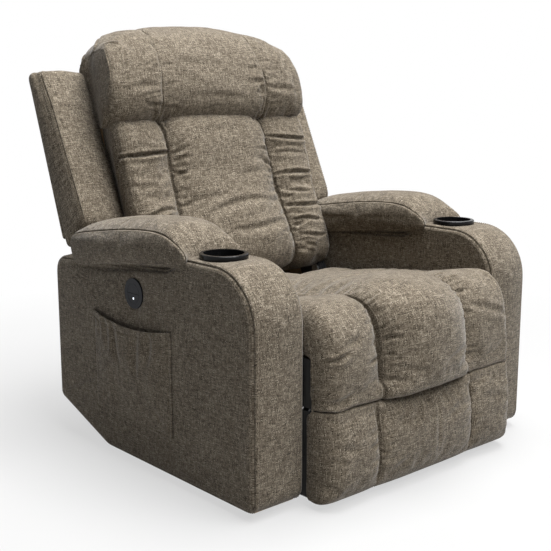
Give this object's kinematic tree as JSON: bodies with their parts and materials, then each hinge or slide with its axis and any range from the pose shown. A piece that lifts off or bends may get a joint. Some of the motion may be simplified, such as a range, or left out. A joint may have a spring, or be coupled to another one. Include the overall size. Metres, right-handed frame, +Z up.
{
  "type": "power recliner armchair",
  "caption": "Upholstered recliner armchair with padded arms, cup holders, a tilting seat, a reclining winged back and a fold-out leg rest worked from a side switch.",
  "frame": {"origin": "on the floor, under the middle of the chair's box", "axes": "+Z up, the chair faces -Y, its own left arm is on +X"},
  "size_m": [0.894, 1.0084, 1.0055],
  "materials": {
    "upholstery": "woven tweed, brown and taupe yarns",
    "lining": "plain woven lining on board",
    "webbing": "elastic webbing",
    "frame_wood": "plywood and softwood",
    "gloss_black": "gloss moulded",
    "black_plastic": "fine grain moulded",
    "indicator": "clear light pipe",
    "rubber": "matt",
    "bright_steel": "zinc plated",
    "dark_steel": "black powder coat"
  },
  "bodies": {
    "base": {"left_arm_frame": "frame_wood", "right_arm_frame": "frame_wood", "left_arm_cover": "upholstery", "right_arm_cover": "upholstery", "left_arm_pad": "upholstery", "right_arm_pad": "upholstery", "left_cup_holder": "gloss_black", "right_cup_holder": "gloss_black", "side_pocket": "upholstery", "switch_ring": "black_plastic", "switch_body": "black_plastic", "indicator_light": "indicator", "glides": "black_plastic", "arm_bolts": "bright_steel", "left_base_plate": "dark_steel", "right_base_plate": "dark_steel", "base_cross_tubes": "dark_steel", "base_pivot_bolts": "bright_steel", "tilt_stops": "rubber", "rear_panel": "lining", "power_inlet": "black_plastic"},
    "seat": {"left_seat_plate": "dark_steel", "right_seat_plate": "dark_steel", "seat_pivot_bolts": "bright_steel", "seat_cross_tube": "dark_steel", "seat_frame": "frame_wood", "seat_webbing": "webbing", "seat_cushion": "upholstery", "seat_nose": "upholstery", "drive_motor": "black_plastic"},
    "back": {"back_frame": "frame_wood", "back_webbing": "webbing", "back_shell": "upholstery", "left_wing": "upholstery", "right_wing": "upholstery", "back_cushion": "upholstery", "headrest": "upholstery", "left_back_bracket": "dark_steel", "right_back_bracket": "dark_steel", "back_link_bolts": "bright_steel"},
    "back_links": {"left_back_link": "dark_steel", "right_back_link": "dark_steel"},
    "lower_links": {"left_lower_link": "dark_steel", "right_lower_link": "dark_steel", "drive_tube": "dark_steel"},
    "upper_links": {"left_upper_link": "dark_steel", "right_upper_link": "dark_steel"},
    "control_links": {"left_control_link": "dark_steel", "right_control_link": "dark_steel"},
    "foot_links": {"left_foot_link": "dark_steel", "right_foot_link": "dark_steel"},
    "leg_rest": {"left_foot_bracket": "dark_steel", "right_foot_bracket": "dark_steel", "leg_rest_board": "frame_wood", "leg_rest_pad": "upholstery"},
    "drive_rod": {"drive_rod": "bright_steel"},
    "recline_button": {"recline_button": "black_plastic"},
    "return_button": {"return_button": "black_plastic"}
  },
  "joints": [
    {"name": "seat_tilt", "type": "hinge", "parent": "base", "child": "seat", "pos_m": [0, 0, 0.135], "axis": [-1, 0, 0], "range_deg": [0, 8]},
    {"name": "back_recline", "type": "hinge", "parent": "seat", "child": "back", "pos_m": [0, 0.175, 0.345], "axis": [-1, 0, 0], "range_deg": [0, 26.05]},
    {"name": "back_link_swing", "type": "hinge", "parent": "base", "child": "back_links", "pos_m": [0, 0.09652, 0.23537], "axis": [-1, 0, 0], "range_deg": [0, 23.89]},
    {"name": "leg_rest_swing", "type": "hinge", "parent": "seat", "child": "lower_links", "pos_m": [0, -0.3, 0.203], "axis": [-1, 0, 0], "range_deg": [0, 80]},
    {"name": "upper_link_fold", "type": "hinge", "parent": "lower_links", "child": "upper_links", "pos_m": [0, -0.3, 0.041], "axis": [-1, 0, 0], "range_deg": [-119.48, 0]},
    {"name": "control_link_swing", "type": "hinge", "parent": "seat", "child": "control_links", "pos_m": [0, -0.33785, 0.15553], "axis": [-1, 0, 0], "range_deg": [0, 91.53]},
    {"name": "foot_link_fold", "type": "hinge", "parent": "lower_links", "child": "foot_links", "pos_m": [0, -0.28631, 0.07141], "axis": [-1, 0, 0], "range_deg": [-118.81, 0]},
    {"name": "leg_rest_turn", "type": "hinge", "parent": "upper_links", "child": "leg_rest", "pos_m": [0, -0.392, 0.185], "axis": [-1, 0, 0], "range_deg": [0, 127.48]},
    {"name": "drive_rod_slide", "type": "slide", "parent": "seat", "child": "drive_rod", "axis": [0, -1, 0], "range_m": [0, 0.05795]},
    {"name": "recline_button_press", "type": "slide", "parent": "base", "child": "recline_button", "axis": [1, 0, 0], "range_m": [0, 0.002], "stiffness_N_per_m": 400},
    {"name": "return_button_press", "type": "slide", "parent": "base", "child": "return_button", "axis": [1, 0, 0], "range_m": [0, 0.002], "stiffness_N_per_m": 400}
  ],
  "couplings": [
    {"joint": "back_recline", "follows": "seat_tilt", "ratio": 3.25},
    {"joint": "back_link_swing", "follows": "seat_tilt", "ratio": 2.9803},
    {"joint": "upper_link_fold", "follows": "leg_rest_swing", "ratio": -1.4928},
    {"joint": "control_link_swing", "follows": "leg_rest_swing", "ratio": 1.1435},
    {"joint": "foot_link_fold", "follows": "leg_rest_swing", "ratio": -1.4845},
    {"joint": "leg_rest_turn", "follows": "leg_rest_swing", "ratio": 1.5928},
    {"joint": "drive_rod_slide", "follows": "leg_rest_swing", "m_per_rad": 0.041433}
  ]
}
